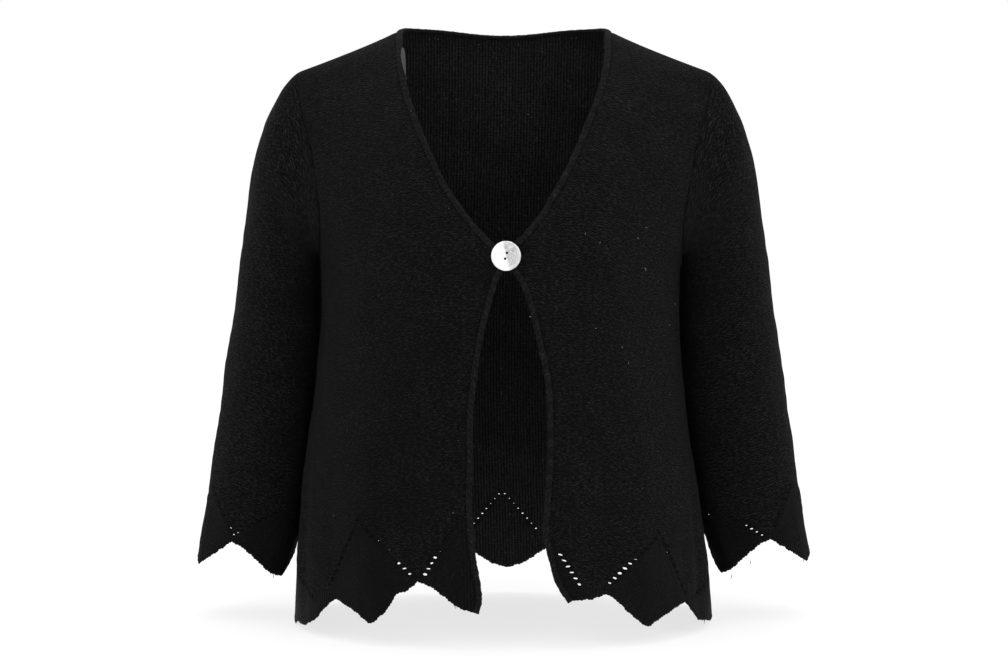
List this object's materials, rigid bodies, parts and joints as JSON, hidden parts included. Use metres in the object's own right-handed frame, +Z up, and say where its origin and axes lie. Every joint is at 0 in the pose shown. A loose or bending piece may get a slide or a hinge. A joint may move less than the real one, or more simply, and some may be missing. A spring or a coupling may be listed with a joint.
{
  "type": "cardigan",
  "caption": "Cropped open knit cardigan, filled out as if worn: V neck closed by a large round button, three-quarter sleeves, zigzag openwork hem and cuffs.",
  "frame": {"origin": "at shoulder level, midway between the two neck points, where the wearer's shoulders carry the garment", "axes": "+Z up, the front faces -Y, +X towards the viewer's right (the wearer's left)"},
  "size_m": [0.6227, 0.3181, 0.5955],
  "materials": {
    "knit": "matt black knit, rough",
    "edging": "matt black rolled knit edging",
    "button": "silvery, turned in fine rings, satin"
  },
  "bodies": {
    "root": {"back": "knit", "front_left": "knit", "front_right": "knit", "sleeve_left_front": "knit", "sleeve_left_back": "knit", "sleeve_right_front": "knit", "sleeve_right_back": "knit", "edging_left": "edging", "edging_right": "edging", "edging_neck": "edging", "button": "button"}
  },
  "joints": []
}
